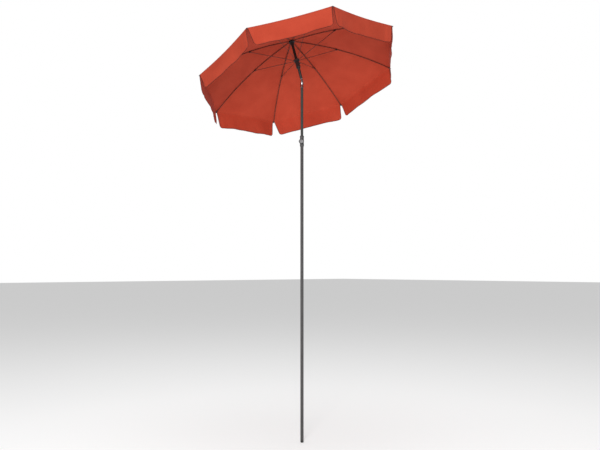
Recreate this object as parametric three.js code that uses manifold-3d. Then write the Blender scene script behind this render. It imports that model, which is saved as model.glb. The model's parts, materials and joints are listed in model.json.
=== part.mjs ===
// A tilting garden parasol: an eight-panel canopy with a hanging valance on a folding steel frame,
// a hinged head that tilts, and a two-part pole held at its height by a clamp screw.
//
// Millimetres, +Z up. The origin is the centre of the flat underside of the pole's foot. The pole stands
// on +Z, and the head leans towards +Y. The head is modelled in a group of its own, whose origin is the
// tilt pin and whose +Z runs up the top tube, so the whole head turns about X through that origin.

import * as THREE from "three";
import { mergeVertices } from "three/addons/utils/BufferGeometryUtils.js";
import Module from "manifold-3d";

const wasm = await Module();
wasm.setup();

// ---- driving dimensions -------------------------------------------------------------------------

const GAP = 0.3; // between pieces that touch
const SLIDE_GAP = 0.3; // radial, between a tube and what slides in or on it

const LOWER_POLE_R = 11; // 22 mm tube
const UPPER_POLE_R = 9.5; // 19 mm tube
const TOP_TUBE_R = 9.5; // 19 mm tube
const TUBE_WALL = 1;

const HINGE_HEIGHT = 2505; // foot to tilt pin
const TILT_DEG = 20;
const CLAMP_HEIGHT = 2068; // foot to clamp screw
const CLAMP_AZIMUTH = 222; // degrees, where the knob points
const POLE_OVERLAP = 350; // upper pole below the clamp screw
const COLLAR_TOP = 45; // collar above the screw
const COLLAR_BOTTOM = 33; // collar below the screw

const RIBS = 8;
const RIB_START = 22.5; // degrees from the head's +X to the first rib
const HUB_ABOVE_HINGE = 326;
const RIB_REACH = 720; // axis to the rib's tip
const CANOPY_RISE = 252; // rib pivots above the rib tips
const RIB_BOW = 36; // rise of the rib's arc over its chord
const RIB_HEIGHT = 3.4;
const RIB_WALL = 0.6;
const STRUT_SHARE = 0.43; // where the strut meets the rib, as a share of the rib's arc
const BLADE = 2.4; // thickness of a strut and of a rib's eye
const RIB_WIDTH = BLADE + 2 * (GAP + RIB_WALL); // the strut's eye turns inside the channel
const PIVOT_R = 18; // radius of the hub's ring wire and of the runner's strut pivots
const WIRE_R = 1.1;

const FABRIC = 1.2;
const FABRIC_LIFT = 2.6; // rib top to fabric
const VALANCE_DROP = 120;
const VALANCE_LEAN = 0.05; // inward per unit of drop
const VALANCE_SWAY = 0.24; // towards the head's +Y per unit of drop; each flap swings on its rim edge
const SLIT_HALF = 15; // half the width of the opening between two flaps, above their round corners
const FLAP_CORNER = 24;

const rad = THREE.MathUtils.degToRad;

// ---- materials ----------------------------------------------------------------------------------

const finish = (color, roughness, metalness) =>
  new THREE.MeshStandardMaterial({ color, roughness, metalness });

const anthracite = finish(0x5a595b, 0.42, 0.6);
const darkPaint = finish(0x34393a, 0.42, 0.6);
const blackPaint = finish(0x16181a, 0.4, 0.3);
const zinc = finish(0xc3c6c9, 0.28, 1);
const ribSteel = finish(0x3a3230, 0.45, 0.7);
const blackPlastic = finish(0x1c1d1f, 0.55, 0);
const greyPlastic = finish(0x4b4a4c, 0.5, 0);
const terracotta = finish(0xc4432f, 0.85, 0);

// ---- solids from three.js geometry --------------------------------------------------------------

// A closed geometry as a manifold-3d solid, turned outwards if its faces point in.
function toSolid(geometry) {
  const bare = geometry.index ? geometry.toNonIndexed() : geometry.clone();
  for (const name of Object.keys(bare.attributes)) {
    if (name !== "position") bare.deleteAttribute(name);
  }
  const merged = mergeVertices(bare, 1e-4);
  const triVerts = new Uint32Array(merged.index.array);
  const vertProperties = merged.attributes.position.array;
  const make = () => new wasm.Manifold(new wasm.Mesh({ numProp: 3, vertProperties, triVerts }));
  const solid = make();
  if (solid.volume() > 0) return solid;
  for (let i = 0; i < triVerts.length; i += 3) {
    [triVerts[i + 1], triVerts[i + 2]] = [triVerts[i + 2], triVerts[i + 1]];
  }
  return make();
}

// A manifold-3d solid as a flat-shaded three.js geometry.
function toGeometry(solid) {
  const mesh = solid.getMesh();
  const points = new Float32Array(mesh.numVert * 3);
  for (let i = 0; i < mesh.numVert; i++) {
    points.set(mesh.vertProperties.subarray(i * mesh.numProp, i * mesh.numProp + 3), i * 3);
  }
  const indexed = new THREE.BufferGeometry()
    .setAttribute("position", new THREE.BufferAttribute(points, 3))
    .setIndex(new THREE.BufferAttribute(new Uint32Array(mesh.triVerts), 1));
  const flat = indexed.toNonIndexed();
  flat.computeVertexNormals();
  return flat;
}

// A cylinder on Z.
function rod(radius, low, high, sides = 24) {
  const geometry = new THREE.CylinderGeometry(radius, radius, high - low, sides);
  return toSolid(geometry.rotateX(Math.PI / 2).translate(0, 0, (low + high) / 2));
}

// A cylinder along X or Y, centred on [x, y, z].
function crossRod(axis, radius, length, [x, y, z], sides = 16) {
  const geometry = new THREE.CylinderGeometry(radius, radius, length, sides);
  if (axis === "x") geometry.rotateZ(Math.PI / 2);
  return toSolid(geometry.translate(x, y, z));
}

function pipe(outer, inner, low, high, sides = 24) {
  return rod(outer, low, high, sides).subtract(rod(inner, low - 1, high + 1, sides));
}

function block([x0, x1], [y0, y1], [z0, z1]) {
  const geometry = new THREE.BoxGeometry(x1 - x0, y1 - y0, z1 - z0);
  return toSolid(geometry.translate((x0 + x1) / 2, (y0 + y1) / 2, (z0 + z1) / 2));
}

// A solid turned about Z from a profile of [radius, height] pairs that starts and ends on the axis.
function turned(profile, sides = 24) {
  const points = profile.map(([r, z]) => new THREE.Vector2(r, z));
  return toSolid(new THREE.LatheGeometry(points, sides).rotateX(Math.PI / 2));
}

// A flat shape drawn in X (radial) and Z (up), given a thickness across Y.
function plate(shape, thickness, curveSegments = 6) {
  const options = { depth: thickness, bevelEnabled: false, curveSegments };
  const geometry = new THREE.ExtrudeGeometry(shape, options);
  return toSolid(geometry.rotateX(Math.PI / 2).translate(0, thickness / 2, 0));
}

const spun = (solid, degrees) => solid.rotate([0, 0, degrees]);

// ---- the rib's arc, in the plane of one rib: X outwards from the axis, Z up from the rib pivots ----

const chord = Math.hypot(RIB_REACH - PIVOT_R, CANOPY_RISE);
const ARC_R = (chord * chord) / 8 / RIB_BOW + RIB_BOW / 2;
const ARC_HALF = Math.asin(chord / 2 / ARC_R);
const CHORD_SLOPE = Math.atan2(CANOPY_RISE, RIB_REACH - PIVOT_R);
// Angles are measured from straight up, clockwise; the arc runs from ARC_START to ARC_END.
const ARC_START = CHORD_SLOPE - ARC_HALF;
const ARC_END = CHORD_SLOPE + ARC_HALF;
const ARC_CENTRE = {
  x: PIVOT_R - ARC_R * Math.sin(ARC_START),
  z: -ARC_R * Math.cos(ARC_START),
};

// The point a given share along the rib, raised off the rib's centre line.
function arcPoint(share, raised = 0) {
  const angle = ARC_START + share * (ARC_END - ARC_START);
  return {
    x: ARC_CENTRE.x + (ARC_R + raised) * Math.sin(angle),
    z: ARC_CENTRE.z + (ARC_R + raised) * Math.cos(angle),
    slope: angle,
  };
}

const ribTop = RIB_HEIGHT / 2;
const STRUT_PIN_DROP = ribTop + 3; // strut pin below the rib's centre line
const strutPin = arcPoint(STRUT_SHARE, -STRUT_PIN_DROP);
const STRUT_LENGTH = Math.hypot(strutPin.x - PIVOT_R, strutPin.z);
const RUNNER_BELOW_HUB = -2 * strutPin.z; // strut and inner rib make an isosceles triangle

// ---- lower pole, its foot and its clamp ----------------------------------------------------------

const FOOT_CAP = 12; // foot below the tube's end
const FOOT_SPIGOT = 32;
const POLE_ABOVE_SCREW = 14;
const LOWER_POLE_TOP = CLAMP_HEIGHT + POLE_ABOVE_SCREW;
const lowerBore = LOWER_POLE_R - TUBE_WALL;
const COLLAR_WALL = 2.2; // outside the lower pole
const COLLAR_BEAD = 0.9; // how far a bead stands out
const SCREW_R = 3;
const BOSS_R = SCREW_R + 6;
const BOSS_FACE = 22; // axis of the pole to the boss's face
const KNOB_R = 19;
const KNOB_INNER = BOSS_FACE + 2; // axis of the pole to the knob's back
const KNOB_DEPTH = 15;
const KNOB_NECK = 8; // length of the neck behind the grip
const KNOB_CROWN = 4; // depth of the raised centre of the knob's face
const KNOB_EDGE = 1.5; // rounding of the grip
const SCREW_SOCKET = KNOB_DEPTH - 5; // depth of the knob's socket

function lowerPole() {
  const tube = pipe(LOWER_POLE_R, lowerBore, FOOT_CAP + GAP, LOWER_POLE_TOP);
  const hole = crossRod("x", SCREW_R + GAP, 2 * LOWER_POLE_R, [LOWER_POLE_R, 0, CLAMP_HEIGHT]);
  return tube.subtract(spun(hole, CLAMP_AZIMUTH));
}

function poleFoot() {
  return turned([
    [0, 0],
    [LOWER_POLE_R - 2.5, 0],
    [LOWER_POLE_R - 0.8, 0.8],
    [LOWER_POLE_R, 3],
    [LOWER_POLE_R, FOOT_CAP],
    [lowerBore - GAP, FOOT_CAP],
    [lowerBore - GAP, FOOT_CAP + FOOT_SPIGOT - 2],
    [lowerBore - 2, FOOT_CAP + FOOT_SPIGOT],
    [0, FOOT_CAP + FOOT_SPIGOT],
  ]);
}

// A plastic collar over the lower pole's end, with a boss for the screw and a guide lip for the upper pole.
function clampCollar() {
  const top = CLAMP_HEIGHT + COLLAR_TOP;
  const bottom = CLAMP_HEIGHT - COLLAR_BOTTOM;
  const grip = LOWER_POLE_R + COLLAR_WALL;
  const bead = grip + COLLAR_BEAD;
  const body = turned([
    [0, bottom],
    [grip - COLLAR_BEAD, bottom],
    [grip, bottom + 4],
    [bead, bottom + 8],
    [bead, bottom + 16],
    [grip, bottom + 20],
    [grip, top - 16],
    [bead, top - 12],
    [bead, top - 4],
    [grip - COLLAR_BEAD, top],
    [0, top],
  ]);
  const boss = crossRod("x", BOSS_R, BOSS_FACE, [BOSS_FACE / 2, 0, CLAMP_HEIGHT], 24);
  const thread = crossRod("x", SCREW_R + GAP, 2 * KNOB_INNER, [KNOB_INNER, 0, CLAMP_HEIGHT]);
  const poleBore = rod(LOWER_POLE_R + GAP, bottom - 1, LOWER_POLE_TOP + GAP);
  const mouth = rod(UPPER_POLE_R + SLIDE_GAP, bottom, top + 1);
  return body
    .add(spun(boss, CLAMP_AZIMUTH))
    .subtract(spun(thread, CLAMP_AZIMUTH))
    .subtract(poleBore)
    .subtract(mouth);
}

function clampScrew() {
  const inner = UPPER_POLE_R + GAP;
  const outer = KNOB_INNER + SCREW_SOCKET - 1;
  const stud = crossRod("x", SCREW_R, outer - inner, [(inner + outer) / 2, 0, CLAMP_HEIGHT]);
  return spun(stud, CLAMP_AZIMUTH);
}

// A lobed hand knob, turned to face away from the pole.
function clampKnob() {
  const LOBES = 7;
  const DEPTH_OF_LOBE = 1.6;
  const outline = new THREE.Shape();
  const steps = LOBES * 6;
  for (let i = 0; i < steps; i++) {
    const angle = (i / steps) * 2 * Math.PI;
    const r = KNOB_R - KNOB_EDGE - DEPTH_OF_LOBE * (0.5 + 0.5 * Math.cos(LOBES * angle));
    outline[i ? "lineTo" : "moveTo"](r * Math.cos(angle), r * Math.sin(angle));
  }
  const grip = new THREE.ExtrudeGeometry(outline, {
    depth: KNOB_DEPTH - 7,
    bevelThickness: KNOB_EDGE,
    bevelSize: KNOB_EDGE,
    bevelSegments: 2,
  });
  const face = KNOB_INNER + KNOB_DEPTH;
  grip.rotateY(Math.PI / 2).translate(KNOB_INNER + KNOB_NECK / 2 + KNOB_EDGE, 0, CLAMP_HEIGHT);
  const neck = crossRod("x", BOSS_R - 1, KNOB_NECK, [KNOB_INNER + KNOB_NECK / 2, 0, CLAMP_HEIGHT], 24);
  const crown = crossRod("x", BOSS_R, KNOB_CROWN, [face - KNOB_CROWN / 2, 0, CLAMP_HEIGHT], 24);
  const socket = crossRod("x", SCREW_R + GAP, 2 * SCREW_SOCKET, [KNOB_INNER, 0, CLAMP_HEIGHT]);
  return spun(toSolid(grip).add(neck).add(crown).subtract(socket), CLAMP_AZIMUTH);
}

// ---- upper pole and the fixed half of the hinge ----------------------------------------------------

const UPPER_POLE_BOTTOM = CLAMP_HEIGHT - POLE_OVERLAP;
const TUBE_BELOW_PIN = 35;
const UPPER_POLE_TOP = HINGE_HEIGHT - TUBE_BELOW_PIN;
const GUIDE_NOSE = 14; // guide below the tube's end
const GUIDE_SPIGOT = 26;
const FORK_SPIGOT = 30;
const FORK_SHOULDER = 4; // the fork's collar above the tube's end
const FORK_NECK_R = UPPER_POLE_R - 0.4; // leaves the sleeve room to pass
const FORK_SLOT = 12; // slot below the pin
const upperBore = UPPER_POLE_R - TUBE_WALL;
const EAR_HALF_X = 8; // outer face of a hinge ear
const EAR_HALF_Y = 6;
const EAR_INNER = 3.6;
const NECK_BELOW_PIN = 20; // top of the fork's round neck below the pin
const PIN_R = 2.5;

// The plastic guide at the upper pole's lower end, which keeps it straight inside the lower pole.
function poleGuide() {
  const z = UPPER_POLE_BOTTOM;
  const sliding = lowerBore - GAP;
  return turned([
    [0, z - GUIDE_NOSE],
    [sliding - 1.5, z - GUIDE_NOSE],
    [sliding, z - GUIDE_NOSE + 3],
    [sliding, z - GAP],
    [upperBore - GAP, z - GAP],
    [upperBore - GAP, z + GUIDE_SPIGOT],
    [0, z + GUIDE_SPIGOT],
  ]);
}

function upperPole() {
  return pipe(UPPER_POLE_R, upperBore, UPPER_POLE_BOTTOM, UPPER_POLE_TOP);
}

function tiltFork() {
  const spigot = rod(upperBore - GAP, UPPER_POLE_TOP - FORK_SPIGOT, UPPER_POLE_TOP + 1);
  const collar = rod(UPPER_POLE_R, UPPER_POLE_TOP + GAP, UPPER_POLE_TOP + FORK_SHOULDER);
  const neck = rod(FORK_NECK_R, UPPER_POLE_TOP + 3, HINGE_HEIGHT - NECK_BELOW_PIN);
  const ears = block(
    [-EAR_HALF_X, EAR_HALF_X],
    [-EAR_HALF_Y, EAR_HALF_Y],
    [HINGE_HEIGHT - NECK_BELOW_PIN - 1, HINGE_HEIGHT],
  ).add(crossRod("x", EAR_HALF_Y, 2 * EAR_HALF_X, [0, 0, HINGE_HEIGHT], 24));
  const round = rod(FORK_NECK_R, HINGE_HEIGHT - 2 * NECK_BELOW_PIN, HINGE_HEIGHT + 2 * EAR_HALF_Y);
  const slot = block(
    [-EAR_INNER, EAR_INNER],
    [-2 * EAR_HALF_Y, 2 * EAR_HALF_Y],
    [HINGE_HEIGHT - FORK_SLOT, HINGE_HEIGHT + 2 * EAR_HALF_Y],
  );
  const pinHole = crossRod("x", PIN_R + GAP, 4 * EAR_HALF_X, [0, 0, HINGE_HEIGHT]);
  return spigot.add(collar).add(neck).add(ears.intersect(round)).subtract(slot).subtract(pinHole);
}

function tiltPin() {
  return crossRod("x", PIN_R, 2 * EAR_HALF_X - 0.4, [0, 0, HINGE_HEIGHT]);
}

// ---- the sleeve that locks the hinge -----------------------------------------------------------------

const SLEEVE_R = 11.2;
const SLEEVE_LENGTH = 36;
const SLEEVE_BELOW_PIN = 13; // sleeve's top below the pin

// A bright ring round the upper pole's end, pulled down to free the hinge.
function lockSleeve() {
  const top = HINGE_HEIGHT - SLEEVE_BELOW_PIN;
  return pipe(SLEEVE_R, UPPER_POLE_R + SLIDE_GAP, top - SLEEVE_LENGTH, top, 32);
}

// ---- the head: top tube and hinge tongue ----------------------------------------------------------

const TUBE_ABOVE_PIN = 16;
const topBore = TOP_TUBE_R - TUBE_WALL;
const TONGUE_PLUG = 34; // tongue inside the top tube
const TUBE_BELOW_HUB = 4; // top tube's end below the rib pivots
const HUB_SPIGOT_R = 6;
const HUB_SPIGOT = 19; // above the rib pivots, through the cloth and into the finial

function topTube() {
  return pipe(TOP_TUBE_R, topBore, TUBE_ABOVE_PIN, HUB_ABOVE_HINGE - TUBE_BELOW_HUB);
}

function tiltTongue() {
  const half = EAR_INNER - GAP;
  const eye = crossRod("x", EAR_HALF_Y, 2 * half, [0, 0, 0], 24);
  const blade = block([-half, half], [-EAR_HALF_Y, EAR_HALF_Y], [0, TUBE_ABOVE_PIN]);
  const plug = rod(topBore - GAP, TUBE_ABOVE_PIN - 3, TUBE_ABOVE_PIN + TONGUE_PLUG);
  const hole = crossRod("x", PIN_R + GAP, 4 * half, [0, 0, 0]);
  return eye.add(blade).add(plug).subtract(hole);
}

// ---- hub and runner ------------------------------------------------------------------------------

const SLOT_HALF = BLADE / 2 + GAP;
const CROWN_R = 21;
const WIRE_ROOM = WIRE_R + 0.4; // round the ring wire, in the crown's groove and the rib's eye
const HUB_CORE = 12;
const HUB_SKIRT = 26; // how far the hub reaches down the tube

// A notched crown: a flange with a radial slot for each blade, and a groove for the ring wire.
function crown(coreR, low, high) {
  const groove = pipe(PIVOT_R + WIRE_ROOM, PIVOT_R - WIRE_ROOM, -WIRE_ROOM, high + 1, 32);
  let made = rod(CROWN_R, low, high, 32).subtract(groove);
  for (let i = 0; i < RIBS; i++) {
    const slot = block([coreR, CROWN_R + 2], [-SLOT_HALF, SLOT_HALF], [low - 1, high + 1]);
    made = made.subtract(spun(slot, RIB_START + (i * 360) / RIBS));
  }
  return made.add(rod(coreR, low, high));
}

function ringWire() {
  const ring = new THREE.TorusGeometry(PIVOT_R, WIRE_R, 6, 32);
  return spun(toSolid(ring), RIB_START);
}

function hub() {
  return crown(HUB_CORE, -8, 1.6)
    .add(rod(HUB_CORE, -HUB_SKIRT, 0))
    .add(rod(HUB_SPIGOT_R, 0, HUB_SPIGOT))
    .subtract(rod(TOP_TUBE_R + GAP, -HUB_SKIRT - 1, -TUBE_BELOW_HUB + GAP));
}

const FINIAL_NECK_R = 7.5;
const FINIAL_NECK_TOP = 18; // above the finial's underside
const FINIAL_ABOVE_FABRIC = 4; // the cloth rises to it between the ribs

// The cap that holds the fabric down on the hub.
function finial() {
  const low = FABRIC_LIFT + ribTop + FABRIC + FINIAL_ABOVE_FABRIC;
  const profile = [
    [0, low],
    [CROWN_R - 1, low],
    [CROWN_R, low + 1.5],
    [CROWN_R - 2, low + 4],
    [10, low + 8],
    [FINIAL_NECK_R, low + 12],
    [FINIAL_NECK_R, low + FINIAL_NECK_TOP],
  ];
  const steps = 6;
  for (let i = 1; i < steps; i++) {
    const angle = (i / steps) * (Math.PI / 2);
    const height = FINIAL_NECK_TOP + FINIAL_NECK_R * Math.sin(angle);
    profile.push([FINIAL_NECK_R * Math.cos(angle), low + height]);
  }
  profile.push([0, low + FINIAL_NECK_TOP + FINIAL_NECK_R]);
  return turned(profile).subtract(rod(HUB_SPIGOT_R + GAP, low - 1, HUB_SPIGOT + GAP));
}

const RUNNER_BORE = SLEEVE_R + SLIDE_GAP; // it has to pass over the locking sleeve
const RUNNER_CORE = RUNNER_BORE + 2.4;
const RUNNER_SKIRT = 62; // bottom of the barrel below the strut pivots
const LATCH_AZIMUTH = 315; // between two struts
const LATCH_DROP = 30; // button below the strut pivots
const LATCH_R = 3;
const LATCH_FACE = 22; // axis of the tube to the button's face
const LATCH_BOSS_FACE = 18;

// Slides on the top tube and carries the struts; a spring button in its side catches the tube.
function runner() {
  const barrel = RUNNER_BORE + 3;
  const skirt = turned([
    [0, -5],
    [RUNNER_CORE, -5],
    [barrel, -9],
    [barrel, -RUNNER_SKIRT + 7],
    [barrel + 1, -RUNNER_SKIRT + 4],
    [barrel + 1, -RUNNER_SKIRT + 1],
    [barrel + 0.4, -RUNNER_SKIRT],
    [0, -RUNNER_SKIRT],
  ]);
  const boss = crossRod("x", LATCH_R + 1.3, LATCH_BOSS_FACE, [LATCH_BOSS_FACE / 2, 0, -LATCH_DROP]);
  const bore = crossRod("x", LATCH_R + GAP, LATCH_BOSS_FACE + 4, [LATCH_BOSS_FACE / 2 + 2, 0, -LATCH_DROP]);
  return crown(RUNNER_CORE, -6, 6)
    .add(skirt)
    .add(spun(boss, LATCH_AZIMUTH))
    .subtract(spun(bore, LATCH_AZIMUTH))
    .subtract(rod(RUNNER_BORE, -RUNNER_SKIRT - 1, 7));
}

function latchButton() {
  const inner = RUNNER_BORE + 0.6;
  const length = LATCH_FACE - inner;
  const button = crossRod("x", LATCH_R, length, [inner + length / 2, 0, -LATCH_DROP]);
  return spun(button, LATCH_AZIMUTH);
}

// ---- one rib and what is on it, drawn in the plane of the rib -------------------------------------

const ARC_STEPS = 10;
const RIB_END_SHARE = 0.995;
const RIB_BLADE = 18; // length of the flat end
const RIB_EYE_R = 3.2;

// A strip that follows the rib's arc between two offsets from its centre line.
function arcStrip(from, to, low, high, width) {
  const shape = new THREE.Shape();
  for (let i = 0; i <= ARC_STEPS; i++) {
    const p = arcPoint(from + ((to - from) * i) / ARC_STEPS, high);
    shape[i ? "lineTo" : "moveTo"](p.x, p.z);
  }
  for (let i = ARC_STEPS; i >= 0; i--) {
    const p = arcPoint(from + ((to - from) * i) / ARC_STEPS, low);
    shape.lineTo(p.x, p.z);
  }
  shape.closePath();
  return plate(shape, width);
}

// A steel channel, open below, with a flat eye at its inner end.
function rib() {
  const bladeShare = RIB_BLADE / chord;
  const channel = arcStrip(bladeShare, RIB_END_SHARE, -ribTop, ribTop, RIB_WIDTH);
  const hollow = arcStrip(0.06, 1.01, -ribTop - 2, ribTop - RIB_WALL, RIB_WIDTH - 2 * RIB_WALL);
  const blade = arcStrip(0, 0.1, -ribTop, ribTop, BLADE);
  const eye = crossRod("y", RIB_EYE_R, BLADE, [PIVOT_R, 0, 0], 12);
  const hole = crossRod("y", WIRE_ROOM, 3 * BLADE, [PIVOT_R, 0, 0], 8);
  return channel.subtract(hollow).add(blade).add(eye).subtract(hole);
}

const CAP_R = 4;
const CAP_GRIP = 9; // how far the cap reaches back over the rib

// A moulded cap pushed over the rib's outer end.
function ribTip() {
  const end = arcPoint(RIB_END_SHARE);
  const nose = turned([
    [0, -CAP_GRIP],
    [CAP_R - 0.6, -CAP_GRIP],
    [CAP_R, -CAP_GRIP + 2],
    [CAP_R, 2],
    [CAP_R - 0.6, 8],
    [CAP_R - 1.8, 11.5],
    [0, 12.6],
  ], 12);
  const pocket = block(
    [-RIB_HEIGHT / 2 - GAP, RIB_HEIGHT / 2 + GAP],
    [-RIB_WIDTH / 2 - GAP, RIB_WIDTH / 2 + GAP],
    [-CAP_GRIP - 1, GAP],
  );
  return nose
    .subtract(pocket)
    .rotate([0, 90 + THREE.MathUtils.radToDeg(end.slope), 0])
    .translate([end.x, 0, end.z]);
}

const EYE_R = 3;
const STRUT_PIN_R = 1.3;
const STRUT_HEIGHT = 4;
const BRACKET_HALF = 6; // half its length along the rib
const BRACKET_SHEET = 1;

// A folded bracket round the rib, which carries the strut's pin.
function strutBracket() {
  const pinZ = -STRUT_PIN_DROP;
  const cheek = RIB_WIDTH / 2 + GAP + BRACKET_SHEET;
  const top = ribTop + GAP + BRACKET_SHEET;
  const shell = block([-BRACKET_HALF, BRACKET_HALF], [-cheek, cheek], [pinZ - EYE_R, top]);
  const ribPocket = block(
    [-2 * BRACKET_HALF, 2 * BRACKET_HALF],
    [-RIB_WIDTH / 2 - GAP, RIB_WIDTH / 2 + GAP],
    [-ribTop - GAP - 1, ribTop + GAP],
  );
  const strutSlot = block(
    [-2 * BRACKET_HALF, 2 * BRACKET_HALF],
    [-SLOT_HALF, SLOT_HALF],
    [pinZ - 4, 0],
  );
  const pin = crossRod("y", STRUT_PIN_R, 2 * cheek, [0, 0, pinZ], 8);
  const at = arcPoint(STRUT_SHARE);
  return shell
    .subtract(ribPocket)
    .subtract(strutSlot)
    .add(pin)
    .rotate([0, THREE.MathUtils.radToDeg(at.slope), 0])
    .translate([at.x, 0, at.z]);
}

// A flat steel strut from the runner up to the rib.
function strut() {
  const half = STRUT_HEIGHT / 2;
  const innerEye = PIVOT_R - RUNNER_CORE - 2 * GAP;
  const inner = { x: PIVOT_R, z: -RUNNER_BELOW_HUB };
  const lean = Math.atan2(strutPin.z - inner.z, strutPin.x - inner.x);
  const bar = block([0, STRUT_LENGTH], [-BLADE / 2, BLADE / 2], [-half, half]);
  const made = bar
    .add(crossRod("y", innerEye, BLADE, [0, 0, 0], 12))
    .add(crossRod("y", EYE_R, BLADE, [STRUT_LENGTH, 0, 0], 12))
    .subtract(crossRod("y", WIRE_R + GAP, 3 * BLADE, [0, 0, 0], 8))
    .subtract(crossRod("y", STRUT_PIN_R + GAP, 3 * BLADE, [STRUT_LENGTH, 0, 0], 8));
  return made
    .rotate([0, -THREE.MathUtils.radToDeg(lean), 0])
    .translate([inner.x, 0, inner.z]);
}

// ---- the canopy, cut into one gore over each rib ----------------------------------------------------

const FABRIC_HOLE_R = HUB_SPIGOT_R + 2;

const holeShare = (FABRIC_HOLE_R - PIVOT_R) / chord;
const rimUnder = arcPoint(1, ribTop + FABRIC_LIFT);

// Half the eight-sided dome and its flaps as one closed profile, turned in as many flat sides as ribs.
function dome() {
  const under = ribTop + FABRIC_LIFT;
  const share = (i) => holeShare + ((1 - holeShare) * i) / ARC_STEPS;
  const profile = [];
  for (let i = 0; i <= ARC_STEPS; i++) {
    const p = arcPoint(share(i), under + FABRIC);
    profile.push([p.x, p.z]);
  }
  const outer = profile[ARC_STEPS];
  const hem = [outer[0] - VALANCE_LEAN * VALANCE_DROP, outer[1] - VALANCE_DROP];
  profile.push(hem, [hem[0] - FABRIC, hem[1]]);
  profile.push([rimUnder.x - FABRIC, rimUnder.z - FABRIC]);
  for (let i = ARC_STEPS - 1; i >= 0; i--) {
    const p = arcPoint(share(i), under);
    profile.push([p.x, p.z]);
  }
  profile.push([...profile[0]]);
  return spun(turned(profile, RIBS), -90);
}

// The wedge of the dome that belongs to one rib, clear of its neighbours by half the gap.
function wedge() {
  const half = Math.PI / RIBS;
  const reach = 2 * RIB_REACH;
  const back = GAP / 2 / Math.sin(half);
  const shape = new THREE.Shape();
  shape.moveTo(back, 0);
  shape.lineTo(back + reach * Math.cos(half), reach * Math.sin(half));
  shape.lineTo(back + reach * Math.cos(half), -reach * Math.sin(half));
  shape.closePath();
  const geometry = new THREE.ExtrudeGeometry(shape, { depth: 2 * RIB_REACH, bevelEnabled: false });
  return toSolid(geometry.translate(0, 0, -RIB_REACH));
}

// What is cut away below a rib's tip, so that two flaps with round corners hang side by side.
function slit() {
  const top = rimUnder.z + 2;
  const bottom = rimUnder.z - VALANCE_DROP - 20;
  const bend = rimUnder.z - VALANCE_DROP + FLAP_CORNER + 4;
  const wide = SLIT_HALF + FLAP_CORNER;
  const hem = bend - FLAP_CORNER;
  const shape = new THREE.Shape();
  shape.moveTo(0.8, top);
  shape.lineTo(SLIT_HALF, bend);
  shape.quadraticCurveTo(SLIT_HALF, hem, wide, hem - 1.5);
  shape.lineTo(wide, bottom);
  shape.lineTo(-wide, bottom);
  shape.lineTo(-wide, hem - 1.5);
  shape.quadraticCurveTo(-SLIT_HALF, hem, -SLIT_HALF, bend);
  shape.lineTo(-0.8, top);
  shape.closePath();
  const geometry = new THREE.ExtrudeGeometry(shape, {
    depth: 120,
    bevelEnabled: false,
    curveSegments: 6,
  });
  geometry.rotateX(Math.PI / 2).rotateZ(Math.PI / 2);
  return toSolid(geometry.translate(rimUnder.x - 80, 0, 0));
}

const uncutGore = dome().intersect(wedge()).subtract(slit());

// One gore in its own rib's frame. Each of its two half flaps swings about its own rim edge, as far as it
// can follow the pull towards the head's +Y.
function gore(azimuth) {
  const tip = arcPoint(RIB_END_SHARE);
  const capRoom = crossRod("x", CAP_R + 0.8, CAP_GRIP + 20, [5.5, 0, 0])
    .rotate([0, THREE.MathUtils.radToDeg(tip.slope), 0])
    .translate([tip.x, 0, tip.z]);
  const geometry = toGeometry(uncutGore.subtract(capRoom));
  const sway = new THREE.Vector2(0, VALANCE_SWAY).rotateAround(new THREE.Vector2(), -rad(azimuth));
  const half = Math.PI / RIBS;
  const p = geometry.attributes.position;
  for (let i = 0; i < p.count; i++) {
    const drop = Math.max(0, rimUnder.z - p.getZ(i));
    const outward = new THREE.Vector2(Math.cos(half), Math.sign(p.getY(i)) * Math.sin(half));
    const swing = outward.dot(sway) * drop;
    p.setXY(i, p.getX(i) + swing * outward.x, p.getY(i) + swing * outward.y);
  }
  geometry.computeVertexNormals();
  return geometry;
}

// ---- the scene graph -----------------------------------------------------------------------------

const parasol = new THREE.Group();

function place(parent, name, shape, material) {
  const geometry = shape.isBufferGeometry ? shape : toGeometry(shape);
  const mesh = new THREE.Mesh(geometry, material);
  mesh.name = name;
  parent.add(mesh);
}

place(parasol, "lower_pole", lowerPole(), anthracite);
place(parasol, "pole_foot", poleFoot(), blackPlastic);
place(parasol, "clamp_collar", clampCollar(), greyPlastic);
place(parasol, "clamp_screw", clampScrew(), zinc);
place(parasol, "clamp_knob", clampKnob(), greyPlastic);
place(parasol, "lock_sleeve", lockSleeve(), zinc);
place(parasol, "pole_guide", poleGuide(), blackPlastic);
place(parasol, "upper_pole", upperPole(), darkPaint);
place(parasol, "tilt_fork", tiltFork(), zinc);
place(parasol, "tilt_pin", tiltPin(), zinc);

const head = new THREE.Group();
head.position.z = HINGE_HEIGHT;
head.rotation.x = -rad(TILT_DEG);
parasol.add(head);

place(head, "tilt_tongue", tiltTongue(), zinc);
place(head, "top_tube", topTube(), blackPaint);

const runnerGroup = new THREE.Group();
runnerGroup.position.z = HUB_ABOVE_HINGE - RUNNER_BELOW_HUB;
head.add(runnerGroup);
place(runnerGroup, "runner", runner(), blackPlastic);
place(runnerGroup, "latch_button", latchButton(), blackPlastic);

const hubGroup = new THREE.Group();
hubGroup.position.z = HUB_ABOVE_HINGE;
head.add(hubGroup);
place(hubGroup, "hub", hub(), blackPlastic);
place(hubGroup, "hub_ring", ringWire(), zinc);
place(hubGroup, "finial", finial(), blackPlastic);

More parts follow.
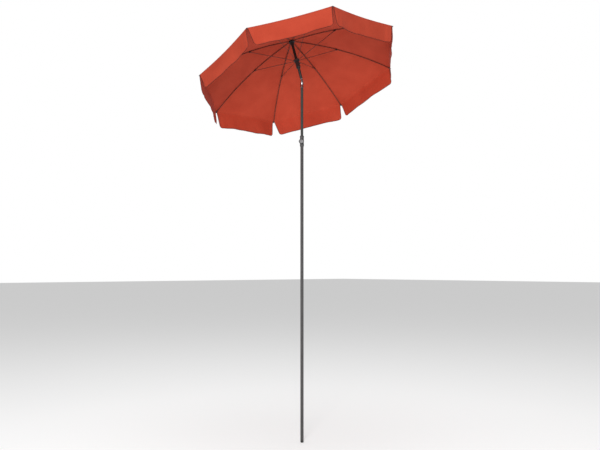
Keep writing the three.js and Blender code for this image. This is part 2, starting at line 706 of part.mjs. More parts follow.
for (let i = 0; i < RIBS; i++) {
  const azimuth = RIB_START + (i * 360) / RIBS;
  const arm = new THREE.Group();
  arm.rotation.z = rad(azimuth);
  hubGroup.add(arm);
  place(arm, `rib_${i + 1}`, rib(), ribSteel);
  place(arm, `rib_tip_${i + 1}`, ribTip(), blackPlastic);
  place(arm, `strut_bracket_${i + 1}`, strutBracket(), blackPaint);
  place(arm, `strut_${i + 1}`, strut(), ribSteel);
  place(arm, `canopy_gore_${i + 1}`, gore(azimuth), terracotta);
}

export default parasol;
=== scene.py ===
import json
import math
import random

import bmesh
import bpy
from mathutils import Matrix, Vector


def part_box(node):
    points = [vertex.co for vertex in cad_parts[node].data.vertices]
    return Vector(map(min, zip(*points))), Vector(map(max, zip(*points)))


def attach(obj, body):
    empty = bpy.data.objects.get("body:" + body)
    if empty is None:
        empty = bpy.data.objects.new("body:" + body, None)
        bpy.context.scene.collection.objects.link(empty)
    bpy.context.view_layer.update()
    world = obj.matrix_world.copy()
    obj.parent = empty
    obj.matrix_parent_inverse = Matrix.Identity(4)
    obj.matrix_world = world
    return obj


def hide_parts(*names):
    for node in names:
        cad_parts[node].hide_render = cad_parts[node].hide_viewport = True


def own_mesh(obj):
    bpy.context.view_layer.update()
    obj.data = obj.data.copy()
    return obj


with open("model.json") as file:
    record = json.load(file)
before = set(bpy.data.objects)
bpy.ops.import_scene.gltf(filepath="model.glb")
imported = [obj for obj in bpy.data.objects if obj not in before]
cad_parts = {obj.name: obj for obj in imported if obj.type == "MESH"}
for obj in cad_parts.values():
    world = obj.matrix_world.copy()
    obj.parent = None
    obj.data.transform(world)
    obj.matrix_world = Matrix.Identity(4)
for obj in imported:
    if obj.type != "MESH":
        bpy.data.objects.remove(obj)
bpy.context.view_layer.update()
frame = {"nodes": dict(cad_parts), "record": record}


# ---- camera ------------------------------------------------------------------------------------------
# A seated observer's height, in front of the parasol and to its left, looking slightly upwards, so that the
# underside of the canopy and the whole pole are in view.

camera_data = bpy.data.cameras.new("camera")
camera_data.sensor_width = 36
camera_data.lens = 43.14
camera = bpy.data.objects.new("camera", camera_data)
bpy.context.scene.collection.objects.link(camera)
camera.location = (-3.310, -3.734, 1.180)
look_azimuth = math.radians(-41.4)
look_up = math.radians(3.52)
camera.rotation_euler = (math.pi / 2 + look_up, 0, look_azimuth)
bpy.context.scene.camera = camera


# ---- floor and light ---------------------------------------------------------------------------------
# A pale, evenly lit studio floor, a white surround, a broad key light at the camera's left shoulder and a
# weaker light overhead.

floor_reach = 60
floor_bm = bmesh.new()
bmesh.ops.create_grid(floor_bm, x_segments=1, y_segments=1, size=floor_reach)
floor_mesh = bpy.data.meshes.new("floor")
floor_bm.to_mesh(floor_mesh)
floor_bm.free()
floor = bpy.data.objects.new("floor", floor_mesh)
bpy.context.scene.collection.objects.link(floor)
floor_paint = bpy.data.materials.new("floor_paint")
floor_paint.use_nodes = True
floor_shader = floor_paint.node_tree.nodes["Principled BSDF"]
floor_shader.inputs["Base Color"].default_value = (0.93, 0.93, 0.93, 1)
floor_shader.inputs["Roughness"].default_value = 0.9
floor_shader.inputs["Emission Color"].default_value = (1, 1, 1, 1)
floor_shader.inputs["Emission Strength"].default_value = 0.36
floor_mesh.materials.append(floor_paint)

# The surround lights the scene at a quarter of the brightness that it shows behind the object.
surround = bpy.data.worlds.new("surround")
surround.use_nodes = True
sky = surround.node_tree
sky_light = sky.nodes["Background"]
sky_light.inputs["Color"].default_value = (1, 1, 1, 1)
sky_light.inputs["Strength"].default_value = 0.25
backdrop = sky.nodes.new("ShaderNodeBackground")
backdrop.inputs["Color"].default_value = (1, 1, 1, 1)
backdrop.inputs["Strength"].default_value = 1.0
ray = sky.nodes.new("ShaderNodeLightPath")
either = sky.nodes.new("ShaderNodeMixShader")
sky.links.new(ray.outputs["Is Camera Ray"], either.inputs["Fac"])
sky.links.new(sky_light.outputs["Background"], either.inputs[1])
sky.links.new(backdrop.outputs["Background"], either.inputs[2])
sky.links.new(either.outputs["Shader"], sky.nodes["World Output"].inputs["Surface"])
bpy.context.scene.world = surround
bpy.context.scene.view_settings.view_transform = "Standard"


def soft_light(name, place, aim, size, watts):
    data = bpy.data.lights.new(name, "AREA")
    data.size = size
    data.energy = watts
    light = bpy.data.objects.new(name, data)
    light.location = place
    light.rotation_euler = (Vector(aim) - Vector(place)).to_track_quat("-Z", "Y").to_euler()
    bpy.context.scene.collection.objects.link(light)


soft_light("key", place=(-4.3, -4.0, 2.4), aim=(0, 0, 2.4), size=1.6, watts=235)
soft_light("overhead", place=(0, 0, 7.5), aim=(0, 0, 0), size=5.0, watts=160)


# ---- lower pole --------------------------------------------------------------------------------------
# A drawn steel tube, 22 mm across with a 1 mm wall, powder-coated anthracite. Its upper end is turned in
# a little, and the clamp screw passes through a hole near it.

def new_piece(name, bm, body, replaced=(), smooth_under=35):
    """A bmesh as an object at the origin, smooth where its faces meet at less than that many degrees."""
    for face in bm.faces:
        face.smooth = True
    for edge in bm.edges:
        edge.smooth = edge.calc_face_angle(0) < math.radians(smooth_under)
    mesh = bpy.data.meshes.new(name)
    bm.to_mesh(mesh)
    bm.free()
    piece = bpy.data.objects.new(name, mesh)
    bpy.context.scene.collection.objects.link(piece)
    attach(piece, body)
    if replaced:
        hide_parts(*replaced)
    return piece


def spun(profile, closed, turns):
    """Pairs of (radius, height), joined up in a line or in a closed ring, and turned about Z."""
    bm = bmesh.new()
    line = [bm.verts.new((radius, 0, height)) for radius, height in profile]
    followers = line[1:] + line[:1] if closed else line[1:]
    edges = [bm.edges.new((a, b)) for a, b in zip(line, followers)]
    bmesh.ops.spin(bm, geom=line + edges, cent=(0, 0, 0), axis=(0, 0, 1), angle=math.tau, steps=turns,
                   use_merge=True)
    bmesh.ops.remove_doubles(bm, verts=bm.verts, dist=1e-6)
    bmesh.ops.recalc_face_normals(bm, faces=bm.faces)
    return bm


def spun_tube(section):
    """A tube or ring, from the closed outline of its wall."""
    return spun(section, closed=True, turns=64)


def blank_material(name):
    material = bpy.data.materials.new(name)
    material.use_nodes = True
    tree = material.node_tree
    return material, tree, tree.nodes["Principled BSDF"]


def wandering(tree, scale, detail):
    """A value that wanders over the surface of a piece."""
    place = tree.nodes.new("ShaderNodeTexCoord")
    noise = tree.nodes.new("ShaderNodeTexNoise")
    noise.inputs["Scale"].default_value = scale
    noise.inputs["Detail"].default_value = detail
    tree.links.new(place.outputs["Object"], noise.inputs["Vector"])
    return noise.outputs["Fac"]


def shade_between(tree, value, low, high, margin):
    """A colour that follows a value from one shade to another, and levels off at both ends of its range."""
    ramp = tree.nodes.new("ShaderNodeValToRGB")
    ramp.color_ramp.elements[0].position = margin
    ramp.color_ramp.elements[1].position = 1 - margin
    ramp.color_ramp.elements[0].color = (*low, 1)
    ramp.color_ramp.elements[1].color = (*high, 1)
    tree.links.new(value, ramp.inputs["Fac"])
    return ramp.outputs["Color"]


def relief(tree, height, strength, distance, over=None, sunk=False):
    """A bump of a given distance in metres, laid over another one if that is given."""
    bump = tree.nodes.new("ShaderNodeBump")
    bump.invert = sunk
    bump.inputs["Strength"].default_value = strength
    bump.inputs["Distance"].default_value = distance
    tree.links.new(height, bump.inputs["Height"])
    if over is not None:
        tree.links.new(over, bump.inputs["Normal"])
    return bump.outputs["Normal"]


def mottled(tree, shader, low, high, scale, rough, grain, bump):
    """Colour that wanders between two values, roughness that wanders with it, and a fine bump."""
    patches = wandering(tree, scale, detail=5)
    tree.links.new(shade_between(tree, patches, low, high, margin=0.32), shader.inputs["Base Color"])
    spread = tree.nodes.new("ShaderNodeMapRange")
    spread.inputs["To Min"].default_value = rough[0]
    spread.inputs["To Max"].default_value = rough[1]
    tree.links.new(patches, spread.inputs["Value"])
    tree.links.new(spread.outputs["Result"], shader.inputs["Roughness"])
    fine = wandering(tree, grain, detail=2)
    tree.links.new(relief(tree, fine, strength=bump, distance=0.0002), shader.inputs["Normal"])


def powder_coat(name, low, high):
    """Baked powder paint: satin, with the fine orange peel such a coat has."""
    material, tree, shader = blank_material(name)
    mottled(tree, shader, low, high, scale=9, rough=(0.40, 0.55), grain=900, bump=0.2)
    shader.inputs["Specular IOR Level"].default_value = 0.3
    return material


anthracite = powder_coat("anthracite_powder_coat", (0.062, 0.059, 0.060), (0.084, 0.080, 0.081))

pole_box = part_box("lower_pole")
pole_low, pole_high = pole_box[0][2], pole_box[1][2]
pole_radius = 0.011
pole_wall = 0.001
filed_in = 0.0004
filed_up = 0.0005
lip_start = 0.0012
lip_middle = 0.0004
lip_in = 0.0006
pole_bm = spun_tube([
    (pole_radius - filed_in, pole_low),
    (pole_radius, pole_low + filed_up),
    (pole_radius, pole_high - lip_start),
    (pole_radius - lip_in / 2, pole_high - lip_middle),
    (pole_radius - lip_in, pole_high),
    (pole_radius - pole_wall, pole_high),
    (pole_radius - pole_wall, pole_low),
])
lower_tube = new_piece("lower_pole_tube", pole_bm, "lower_pole", ["lower_pole"])
lower_tube.data.materials.append(anthracite)


# ---- foot plug ---------------------------------------------------------------------------------------
# A black polyethylene plug, pushed into the lower end of the pole. Its nose is rounded, and three shallow
# rings are moulded round the part that shows.

def spun_solid(outline, turns=64):
    """A solid, from an outline that starts and ends on its axis."""
    return spun(outline, closed=False, turns=turns)


def moulded_plastic(name, low, high, gloss=(0.42, 0.58)):
    """Moulded plastic with a fine spark-eroded texture."""
    material, tree, shader = blank_material(name)
    mottled(tree, shader, low, high, scale=40, rough=gloss, grain=2600, bump=0.3)
    return material


black_plastic = moulded_plastic("black_moulded_plastic", (0.016, 0.016, 0.017), (0.026, 0.026, 0.028))
plug_low, plug_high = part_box("pole_foot")[0][2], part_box("pole_foot")[1][2]
plug_radius = 0.0110
plug_shoulder = plug_low + 0.012
spigot_radius = 0.0097
spigot_taper_in = 0.0015
spigot_taper_down = 0.0020
groove_radius = 0.0104
groove_slope = 0.0005
groove_count = 3
groove_start = 0.0038
groove_pitch = 0.0026
rounded_nose = [(0, plug_low), (0.0080, plug_low), (0.0098, plug_low + 0.0007), (0.0109, plug_low + 0.0024)]
grooves = []
for ring in range(groove_count):
    at = plug_low + groove_start + ring * groove_pitch
    grooves += [
        (plug_radius, at),
        (groove_radius, at + groove_slope),
        (groove_radius, at + 2 * groove_slope),
        (plug_radius, at + 3 * groove_slope),
    ]
spigot = [
    (plug_radius, plug_shoulder),
    (spigot_radius, plug_shoulder),
    (spigot_radius, plug_high - spigot_taper_down),
    (spigot_radius - spigot_taper_in, plug_high),
    (0, plug_high),
]
plug_bm = spun_solid(rounded_nose + grooves + spigot)
foot = new_piece("pole_foot_plug", plug_bm, "lower_pole", ["pole_foot"])
foot.data.materials.append(black_plastic)


# ---- clamp collar ------------------------------------------------------------------------------------
# A grey nylon collar over the top of the lower pole. A bead runs round each end, flutes between them give
# it grip, and a boss on one side holds the brass thread of the clamp screw.

nodes = frame["nodes"]


def refined(node, name, body, material, rounding, level_within=1.5, sharp_over=38):
    """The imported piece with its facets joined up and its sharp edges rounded. The angles are in degrees."""
    bm = bmesh.new()
    bm.from_mesh(nodes[node].data)
    bmesh.ops.remove_doubles(bm, verts=bm.verts, dist=2e-6)
    level = math.radians(level_within)
    bmesh.ops.dissolve_limit(bm, angle_limit=level, verts=bm.verts, edges=bm.edges)
    corner = math.radians(sharp_over)
    sharp = [edge for edge in bm.edges if edge.is_manifold and edge.calc_face_angle(0) > corner]
    bmesh.ops.bevel(bm, geom=sharp, offset=rounding, offset_type="OFFSET", affect="EDGES", segments=2,
                    profile=0.5, material=-1, clamp_overlap=True)
    piece = new_piece(name, bm, body, [node])
    piece.data.materials.append(material)
    return piece


grey_plastic = moulded_plastic("grey_moulded_plastic", (0.040, 0.039, 0.040), (0.064, 0.062, 0.064),
                               (0.34, 0.5))
refined("clamp_collar", "clamp_collar_shell", "lower_pole", grey_plastic, rounding=0.0005)

collar_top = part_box("clamp_collar")[1][2]
flute_count = 20
flute_size = (0.0012, 0.0011, 0.020)
flute_from_axis = 0.0131
flute_below_top = 0.030
flute_rounding = 0.0003
flute_bm = bmesh.new()
for flute in range(flute_count):
    angle = math.tau * flute / flute_count
    bar = bmesh.ops.create_cube(flute_bm, size=1)["verts"]
    bmesh.ops.scale(flute_bm, verts=bar, vec=flute_size)
    bmesh.ops.translate(flute_bm, verts=bar, vec=(flute_from_axis, 0, collar_top - flute_below_top))
    bmesh.ops.rotate(flute_bm, verts=bar, cent=(0, 0, 0), matrix=Matrix.Rotation(angle, 3, "Z"))
bmesh.ops.bevel(flute_bm, geom=flute_bm.edges[:], offset=flute_rounding, affect="EDGES", segments=2,
                profile=0.5, material=-1)
flute_piece = new_piece("clamp_collar_flutes", flute_bm, "lower_pole")
flute_piece.data.materials.append(grey_plastic)


# ---- clamp screw and hand knob -----------------------------------------------------------------------
# A steel stud with a round seven-lobed nylon knob moulded on it. The knob faces away from the pole, with a
# dished face and a cap in the dish whose pale grey is a painted highlight, and turning it in pinches the
# upper pole.

joints = {joint["name"]: joint for joint in frame["record"]["behaviour"]["joints"]}
knob_joint = joints["knob_turn"]
knob_axis = Vector(knob_joint["axis"]).normalized()
knob_turn = Vector((0, 0, 1)).rotation_difference(knob_axis).to_matrix().to_4x4()
knob_place = Matrix.Translation(Vector(knob_joint["pos_m"])) @ knob_turn

lobe_count = 7
steps_to_a_lobe = 16
lobe_depth = 0.085
knob_radius = 0.0182
knob_back = 0.028
knob_depth = 0.010
knob_rounding = 0.0018
face_rings = ((0.0028, 0.0), (0.0012, -0.0012), (0.0010, 0.0))
neck_outline = [(0, 0.0244), (0.0078, 0.0244), (0.0080, 0.0262), (0.0105, 0.0285), (0, 0.0285)]

knob_bm = bmesh.new()
rim = bmesh.ops.create_circle(knob_bm, cap_ends=True, radius=knob_radius,
                              segments=lobe_count * steps_to_a_lobe)["verts"]
for vert in rim:
    angle = math.atan2(vert.co.y, vert.co.x)
    reach = 1 - lobe_depth * (0.5 + 0.5 * math.cos(lobe_count * angle)) ** 2
    vert.co.x *= reach
    vert.co.y *= reach
bmesh.ops.translate(knob_bm, verts=knob_bm.verts, vec=(0, 0, knob_back))
lifted = bmesh.ops.extrude_face_region(knob_bm, geom=knob_bm.faces[:])
raised = [item for item in lifted["geom"] if isinstance(item, bmesh.types.BMVert)]
bmesh.ops.translate(knob_bm, verts=raised, vec=(0, 0, knob_depth))
square_corner = math.radians(60)
corners = [edge for edge in knob_bm.edges if edge.calc_face_angle(0) > square_corner]
bmesh.ops.bevel(knob_bm, geom=corners, offset=knob_rounding, affect="EDGES", segments=4, profile=0.5,
                material=-1)
front_half = [face for face in knob_bm.faces if face.calc_center_median().z > knob_back + knob_depth / 2]
front = max(front_half, key=lambda face: face.calc_area())
for thickness, depth in face_rings:
    bmesh.ops.inset_region(knob_bm, faces=[front], thickness=thickness, depth=depth, use_even_offset=True)
bmesh.ops.recalc_face_normals(knob_bm, faces=knob_bm.faces)
neck_bm = spun_solid(neck_outline, turns=48)
neck_mesh = bpy.data.meshes.new("neck")
neck_bm.to_mesh(neck_mesh)
neck_bm.free()
knob_bm.from_mesh(neck_mesh)
bmesh.ops.transform(knob_bm, matrix=knob_place, verts=knob_bm.verts)
knob = new_piece("clamp_hand_knob", knob_bm, "clamp_knob", ["clamp_knob"])
knob.data.materials.append(black_plastic)

# The cap's pale grey is painted highlight. It stands for the light that the black knob's face catches.
pale_highlight_plastic = moulded_plastic("pale_grey_painted_highlight_plastic", (0.17, 0.165, 0.17), (0.23, 0.225, 0.23), (0.34, 0.5))
highlight_cap_outline = [
    (0, 0.0366),
    (0.0118, 0.0366),
    (0.0122, 0.0376),
    (0.0114, 0.0384),
    (0.0070, 0.0386),
    (0.0064, 0.0380),
    (0.0056, 0.0386),
    (0, 0.0389),
]
highlight_cap_bm = spun_solid(highlight_cap_outline, turns=48)
bmesh.ops.transform(highlight_cap_bm, matrix=knob_place, verts=highlight_cap_bm.verts)
knob_highlight_cap = new_piece("clamp_knob_highlight_cap", highlight_cap_bm, "clamp_knob")
knob_highlight_cap.data.materials.append(pale_highlight_plastic)


def plated(name, colour, rough):
    """Zinc or chrome plating, drawn along the tube, with the faint scratches that handling leaves."""
    material, tree, shader = blank_material(name)
    shaded = 0.82
    low = tuple(shaded * channel for channel in colour)
    mottled(tree, shader, low, colour, scale=60, rough=rough, grain=1400, bump=0.12)
    shader.inputs["Metallic"].default_value = 1.0
    return material


zinc = plated("zinc_plate", (0.30, 0.30, 0.31), (0.34, 0.48))
refined("clamp_screw", "clamp_stud", "clamp_screw", zinc, rounding=0.0003)


# ---- upper pole and its guide ------------------------------------------------------------------------
# A steel tube, 19 mm across, in a darker coat. It slides in the lower pole, on a moulded guide that is
# pressed into its hidden end.

dark_coat = powder_coat("dark_powder_coat", (0.040, 0.046, 0.042), (0.058, 0.062, 0.060))
slim_radius = 0.0095
slim_wall = 0.001
slim_filed_down = 0.0008
slim_low, slim_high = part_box("upper_pole")[0][2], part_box("upper_pole")[1][2]
upper_bm = spun_tube([
    (slim_radius, slim_low),
    (slim_radius, slim_high - slim_filed_down),
    (slim_radius - filed_in, slim_high),
    (slim_radius - slim_wall, slim_high),
    (slim_radius - slim_wall, slim_low),
])
upper_tube = new_piece("upper_pole_tube", upper_bm, "upper_pole", ["upper_pole"])
upper_tube.data.materials.append(dark_coat)
refined("pole_guide", "pole_guide_plug", "pole_guide", black_plastic, rounding=0.0004)


# ---- tilt joint --------------------------------------------------------------------------------------
# A zinc-plated fork pressed into the upper pole, a tongue pressed into the top tube, and the pin through
# both. A polished sleeve slides on the pole below them, with a rolled bead at each end to grip it by.

refined("tilt_fork", "tilt_fork_casting", "upper_pole", zinc, rounding=0.0006)
refined("tilt_pin", "tilt_rivet", "upper_pole", zinc, rounding=0.0006)
refined("tilt_tongue", "tilt_tongue_casting", "head", zinc, rounding=0.0006)

chrome = plated("polished_chrome", (0.36, 0.36, 0.37), (0.22, 0.34))
sleeve_low, sleeve_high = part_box("lock_sleeve")[0][2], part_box("lock_sleeve")[1][2]
bead_radius = 0.0112
sleeve_bore = 0.0098
bead_shape = ((0.0006, 0), (0, 0.0008), (0, 0.0030), (0.0003, 0.0036))
lower_bead = [(bead_radius - inwards, sleeve_low + along) for inwards, along in bead_shape]
upper_bead = [(bead_radius - inwards, sleeve_high - along) for inwards, along in reversed(bead_shape)]
sleeve_bm = spun_tube(lower_bead + upper_bead + [(sleeve_bore, sleeve_high), (sleeve_bore, sleeve_low)])
sleeve = new_piece("lock_sleeve_ring", sleeve_bm, "lock_sleeve", ["lock_sleeve"])
sleeve.data.materials.append(chrome)


# ---- top tube ----------------------------------------------------------------------------------------
# The short black tube of the head, from the tilt joint up into the hub. The head leans by the travel of
# the tilt joint, and everything on it is laid out along the leaning axis.

tilt = joints["tilt"]
lean = math.radians(tilt["range_deg"][1])
head_place = Matrix.Translation(Vector(tilt["pos_m"])) @ Matrix.Rotation(-lean, 4, "X")
hub_pivot = head_place.inverted() @ Vector(joints["canopy_fold"]["pos_m"])
hub_height = hub_pivot.z
pivot_radius = math.hypot(hub_pivot.x, hub_pivot.y)

black_coat = powder_coat("black_powder_coat", (0.014, 0.014, 0.014), (0.028, 0.027, 0.026))
tube_above_pin = 0.016
tube_below_hub = 0.004
tube_filed_up = 0.0006
tube_end = hub_height - tube_below_hub
top_bm = spun_tube([
    (slim_radius - filed_in, tube_above_pin),
    (slim_radius, tube_above_pin + tube_filed_up),
    (slim_radius, tube_end),
    (slim_radius - slim_wall, tube_end),
    (slim_radius - slim_wall, tube_above_pin),
])
bmesh.ops.transform(top_bm, matrix=head_place, verts=top_bm.verts)
top_tube = new_piece("top_tube_black", top_bm, "head", ["top_tube"])
top_tube.data.materials.append(black_coat)


# ---- hub, runner and latch ---------------------------------------------------------------------------
# Two notched crowns of black nylon. The hub is fixed on the top tube and holds the ribs on a ring of wire.
# The runner slides below it, carries the struts, and has a spring button in its side.

refined("hub", "hub_crown", "head", black_plastic, rounding=0.0004)
refined("hub_ring", "hub_ring_wire", "head", zinc, rounding=0.0001)
refined("finial", "canopy_finial", "head", black_plastic, rounding=0.0007)
refined("runner", "runner_crown", "runner", black_plastic, rounding=0.0004)
refined("latch_button", "runner_button", "latch_button", black_plastic, rounding=0.0006)


# ---- ribs, struts, brackets and tips -----------------------------------------------------------------
# Eight rolled steel channels, each with a flat strut below it held by a folded bracket, and a moulded cap
# on its outer end. The steel is dipped in a thin dark paint.

dipped = powder_coat("dipped_dark_paint", (0.130, 0.036, 0.026), (0.180, 0.054, 0.040))
rib_count = sum(name.startswith("strut_bracket_") for name in nodes)
for k in range(1, rib_count + 1):
    refined(f"rib_{k}", f"rib_channel_{k}", f"rib_{k}", dipped, rounding=0.0002)
    refined(f"strut_bracket_{k}", f"strut_clip_{k}", f"rib_{k}", black_coat, rounding=0.0003)
    refined(f"rib_tip_{k}", f"rib_end_cap_{k}", f"rib_{k}", black_plastic, rounding=0.0004)
    refined(f"strut_{k}", f"strut_bar_{k}", f"strut_{k}", dipped, rounding=0.0003)


# ---- canopy ------------------------------------------------------------------------------------------
# Eight panels of plain-weave polyester, cut as triangles and sewn to each other along the ribs, with a
# valance of eight flaps turned down at the rim, edged with a dark band along the hem. The same dark colour
# runs along both edges of each slit as painted shade of the gap between the flaps. Each rib carries the
# cloth up to the middle of the panels beside it, so that the canopy can fold with its ribs.

rib_reach = 0.720
canopy_rise = 0.252
rib_bow = 0.036
cloth_lift = 0.0049
cloth_thickness = 0.0007
hole_radius = 0.0085
rim_scallop = 0.013
scallop_sharpness = 6
panel_sag = 0.006
seam_rise = 0.0006
seam_half = 0.006
seam_sharpness = 4
valance_drop = 0.120
valance_lean = 0.05
valance_sway = 0.24
slit_start = 0.0045
slit_start_depth = 0.002
slit_spread = 0.165
corner_radius = 0.021
fold_out = 0.0018
fold_depth = 0.004
half_panel = math.pi / rib_count
edge_half = rib_reach * math.sin(half_panel)

chord = math.hypot(rib_reach - pivot_radius, canopy_rise)
arc_radius = chord ** 2 / 8 / rib_bow + rib_bow / 2
chord_slope = math.atan2(canopy_rise, rib_reach - pivot_radius)
arc_half = math.asin(chord / 2 / arc_radius)
arc_first = chord_slope - arc_half


def over_rib(share):
    """Distance from the axis and height above the rib pivots of the cloth over a rib."""
    angle = arc_first + share * 2 * arc_half
    across = pivot_radius - arc_radius * math.sin(arc_first)
    up = -arc_radius * math.cos(arc_first)
    lifted_radius = arc_radius + cloth_lift
    return across + lifted_radius * math.sin(angle), up + lifted_radius * math.cos(angle)


first_share = (hole_radius - pivot_radius) / chord

# Each flap hangs in a few slow waves of its own, and gathers in short creases towards its ends. A wave is
# given by its size in metres and by how many times it repeats along the flap.
wave_kinds = ((0.0030, 1), (0.0026, 2), (0.0018, 3.5), (0.0008, 6))
wave_growth = 1.3
crease_depth = 0.0016
crease_count = 13
crease_reach = 0.16
crease_slant = 2
crease_rise = 4
crease_fade = 0.75
wave_seed = random.Random(7)
flap_waves = []
for flap in range(rib_count):
    flap_waves.append([(wave_seed.uniform(0.7, 1.3) * size, count, wave_seed.uniform(0, math.tau))
                       for size, count in wave_kinds])


def flap_wave(flap, along, down):
    """How far a flap stands out at a place along it, at a share of its depth."""
    waves = flap_waves[flap % rib_count]
    swell = sum(size * math.sin(math.tau * count * along + phase) for size, count, phase in waves)
    near_end = math.exp(-min(along, 1 - along) / crease_reach)
    beat = math.tau * crease_count * along + waves[0][2] + crease_slant * down
    creases = crease_depth * near_end * math.sin(beat)
    return swell * down ** wave_growth + creases * crease_rise * down * (1 - crease_fade * down)


def panel_point(azimuth, side, aside, share):
    """A point of the roof: aside is 0 on the rib and 1 in the middle of the panel beside it."""
    reach, height = over_rib(share)
    edge = reach * math.sin(half_panel) * aside
    x = reach - edge * math.sin(half_panel)
    y = edge * math.cos(half_panel)
    tension = aside * (2 - aside)
    direction = Vector((x, side * y, 0)).normalized()
    pulled_in = rim_scallop * tension * max(0, share) ** scallop_sharpness
    point = Vector((x, side * y, height)) - direction * pulled_in
    point.z -= panel_sag * tension * math.sin(math.pi * min(1, max(0, share)))
    point.z += seam_rise * max(0, 1 - (edge / seam_half) ** seam_sharpness)
    return Matrix.Rotation(azimuth, 3, "Z") @ point


def flap_point(azimuth, side, aside, down, flap):
    """A point of the valance: aside runs from the slit at the rib to the middle of the flap."""
    depth = down * valance_drop
    opening = slit_start * (1 - math.exp(-depth / slit_start_depth)) + slit_spread * depth
    into_corner = depth - (valance_drop - corner_radius)
    if into_corner > 0:
        opening += corner_radius - math.sqrt(max(0, corner_radius ** 2 - into_corner ** 2))
    start = opening / edge_half
    aside_here = start + (1 - start) * aside
    rim = panel_point(azimuth, side, aside_here, 1)
    outward = Matrix.Rotation(azimuth + side * half_panel, 3, "Z") @ Vector((1, 0, 0))
    along = 0.5 * aside_here if side > 0 else 1 - 0.5 * aside_here
    turned = fold_out * (1 - math.exp(-depth / fold_depth))
    swing = (outward.y * valance_sway - valance_lean) * depth
    return rim + Vector((0, 0, -depth)) + outward * (swing + flap_wave(flap, along, down) + turned)


stitch_length = 0.0035
stitch_gap_beat = -0.5
thread_width = 0.0007
thread_colour = (0.20, 0.024, 0.012)
rim_stitch = 0.002
hem_stitch = 0.008


def calculation(tree, operation, first, second=0.0):
    """One Math node; each input is a number or another node's output."""
    node = tree.nodes.new("ShaderNodeMath")
    node.operation = operation
    for socket, given in zip(node.inputs, (first, second)):
        if isinstance(given, (int, float)):
            socket.default_value = given
        else:
            tree.links.new(given, socket)
    return node.outputs["Value"]


def stitch_line(tree, across, along, at):
    """1 on the stitches of a seam that runs at a given place across the flat pattern, and 0 elsewhere."""
    off_line = calculation(tree, "ABSOLUTE", calculation(tree, "SUBTRACT", across, at))
    on_line = calculation(tree, "LESS_THAN", off_line, thread_width / 2)
    beat = calculation(tree, "SINE", calculation(tree, "MULTIPLY", along, math.tau / stitch_length))
    on_thread = calculation(tree, "GREATER_THAN", beat, stitch_gap_beat)
    return calculation(tree, "MULTIPLY", on_line, on_thread)


def woven_cloth(name, low, high, yarn):
    """Plain-weave polyester: crossing yarns at their real spacing, with slow changes of shade."""
    material, tree, shader = blank_material(name)
    flat = tree.nodes.new("ShaderNodeUVMap")
    flat.uv_map = "flat"
    apart = tree.nodes.new("ShaderNodeSeparateXYZ")
    tree.links.new(flat.outputs["UV"], apart.inputs["Vector"])
    aside = calculation(tree, "ABSOLUTE", apart.outputs["X"])
    down = apart.outputs["Y"]
    thread = stitch_line(tree, aside, down, seam_half)
    for at in (chord + rim_stitch, chord + valance_drop - hem_stitch):
        thread = calculation(tree, "MAXIMUM", thread, stitch_line(tree, down, aside, at))
    threads = []
    for direction in ("X", "Y"):
        yarns = tree.nodes.new("ShaderNodeTexWave")
        yarns.bands_direction = direction
        yarns.inputs["Scale"].default_value = 1 / yarn / math.tau
        yarns.inputs["Distortion"].default_value = 0.4
        tree.links.new(flat.outputs["UV"], yarns.inputs["Vector"])
        threads.append(yarns.outputs["Fac"])
    crossing = calculation(tree, "MULTIPLY", *threads)
    dyed = shade_between(tree, wandering(tree, scale=7, detail=6), low, high, margin=0.3)
    gaps = tree.nodes.new("ShaderNodeMix")
    gaps.data_type = "RGBA"
    gaps.blend_type = "MULTIPLY"
    gaps.inputs[0].default_value = 0.12
    tree.links.new(dyed, gaps.inputs[6])
    tree.links.new(crossing, gaps.inputs[7])
    sewn = tree.nodes.new("ShaderNodeMix")
    sewn.data_type = "RGBA"
    sewn.inputs[7].default_value = (*thread_colour, 1)
    tree.links.new(thread, sewn.inputs[0])
    tree.links.new(gaps.outputs[2], sewn.inputs[6])
    tree.links.new(sewn.outputs[2], shader.inputs["Base Color"])
    rumples = relief(tree, wandering(tree, scale=22, detail=3), strength=0.25, distance=0.003)
    weave = relief(tree, crossing, strength=0.35, distance=0.0002, over=rumples)
    seams = relief(tree, thread, strength=0.6, distance=0.0004, over=weave, sunk=True)
    tree.links.new(seams, shader.inputs["Normal"])
    shader.inputs["Roughness"].default_value = 0.82
    shader.inputs["Specular IOR Level"].default_value = 0.2
    shader.inputs["Sheen Weight"].default_value = 0.04
    shader.inputs["Sheen Roughness"].default_value = 0.4
    return material


red_cloth = woven_cloth("terracotta_polyester", (0.440, 0.048, 0.021), (0.510, 0.062, 0.029), yarn=0.0006)
# A dark colour, for the band along the hem and, along each slit, for painted shade of the gap between the
# flaps.
hem_band_and_slit_shade = woven_cloth("dark_red_hem_band_and_painted_slit_shade", (0.100, 0.016, 0.010), (0.150, 0.024, 0.015), yarn=0.0004)

across_steps = 20
roof_steps = 40
flap_steps = 20
rib_crowding = 1.4
hem_crowding = 1.5
dark_hem_rows = 2
slit_shade_columns = 1
canopy_place = head_place @ Matrix.Translation((0, 0, hub_height))


def towards_rib(a):
    """Columns crowd together at the rib, where the seam is and where the slit's edge carries painted shade.
    """
    return a ** rib_crowding


def towards_hem(b):
    """Rows crowd together at the hem, where the corners are round."""
    return 1 - (1 - b) ** hem_crowding


def cloth_grid(bm, columns, rows, place_point, flat_point):
    """A grid whose vertices are put in place by a rule, with its flat size kept as UVs."""
    made = bmesh.ops.create_grid(bm, x_segments=columns, y_segments=rows, size=1)["verts"]
    flat_layer = bm.loops.layers.uv["flat"]
    where = {}
    for vert in made:
        where[vert] = ((vert.co.x + 1) / 2, (vert.co.y + 1) / 2)
    for vert, (a, b) in where.items():
        vert.co = place_point(a, b)
    faces = {face for vert in made for face in vert.link_faces}
    for face in faces:
        for loop in face.loops:
            loop[flat_layer].uv = flat_point(*where[loop.vert])
    return faces, where


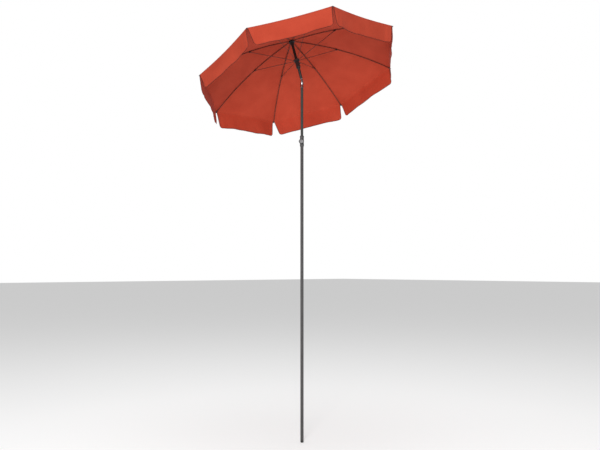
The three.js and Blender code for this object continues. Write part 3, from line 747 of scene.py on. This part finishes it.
for k in range(1, rib_count + 1):
    fold = joints["canopy_fold" if k == 1 else f"rib_{k}_fold"]
    pivot = head_place.inverted() @ Vector(fold["pos_m"])
    azimuth = math.atan2(pivot.y, pivot.x)
    gore_bm = bmesh.new()
    gore_bm.loops.layers.uv.new("flat")
    for side in (1, -1):
        flap = k if side > 0 else k - 1

        def roof(a, b):
            return panel_point(azimuth, side, towards_rib(a), first_share + (1 - first_share) * b)

        def hanging(a, b):
            return flap_point(azimuth, side, towards_rib(a), towards_hem(b), flap)

        cloth_grid(gore_bm, across_steps, roof_steps, roof,
                   lambda a, b: (side * towards_rib(a) * b * edge_half, b * chord))
        faces, where = cloth_grid(gore_bm, across_steps, flap_steps, hanging,
                                  lambda a, b: (side * towards_rib(a) * edge_half,
                                                chord + towards_hem(b) * valance_drop))
        # The last rows at the hem take the dark band. The first column at each slit takes the same colour as
        # painted shade of the gap between the flaps.
        hem_from = 1 - (dark_hem_rows + 0.01) / flap_steps
        slit_to = (slit_shade_columns + 0.01) / across_steps
        for face in faces:
            at_hem = min(where[vert][1] for vert in face.verts) >= hem_from
            at_slit = max(where[vert][0] for vert in face.verts) <= slit_to
            if at_hem or at_slit:
                face.material_index = 1
    bmesh.ops.remove_doubles(gore_bm, verts=gore_bm.verts, dist=2e-5)
    bmesh.ops.transform(gore_bm, matrix=canopy_place, verts=gore_bm.verts)
    bmesh.ops.recalc_face_normals(gore_bm, faces=gore_bm.faces)
    area = sum(face.calc_area() for face in gore_bm.faces)
    bmesh.ops.solidify(gore_bm, geom=gore_bm.faces[:], thickness=cloth_thickness)
    gore = new_piece(f"canopy_panel_{k}", gore_bm, f"rib_{k}", [f"canopy_gore_{k}"],
                     smooth_under=60)
    gore.data.materials.append(red_cloth)
    # Second slot: the dark hem band and the painted shade along the slits.
    gore.data.materials.append(hem_band_and_slit_shade)
    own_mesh(gore)


# ---- crown patch -------------------------------------------------------------------------------------
# A round of the same cloth, doubled and hemmed, that takes the wear under the finial. The finial clamps it
# to the top of the canopy.

patch_radius = 0.025
patch_thickness = 0.0012
patch_gap = 0.0008
patch_rings = (hole_radius, 0.014, 0.020, patch_radius)
hem_in = 0.0006
hem_down = 0.0003
cloth_below = [over_rib((radius - pivot_radius) / chord) for radius in patch_rings]
patch_under = [(reach, height + patch_gap) for reach, height in cloth_below]
patch_over = [(reach, height + patch_thickness) for reach, height in reversed(patch_under)]
patch_over[0] = (patch_over[0][0] - hem_in, patch_over[0][1] - hem_down)
patch_bm = spun_tube(patch_under + patch_over)
patch_area = sum(face.calc_area() for face in patch_bm.faces) / 2
patch_flat = patch_bm.loops.layers.uv.new("flat")
for face in patch_bm.faces:
    for loop in face.loops:
        loop[patch_flat].uv = loop.vert.co.xy
bmesh.ops.transform(patch_bm, matrix=canopy_place, verts=patch_bm.verts)
patch = new_piece("crown_patch", patch_bm, "head", smooth_under=60)
patch.data.materials.append(red_cloth)
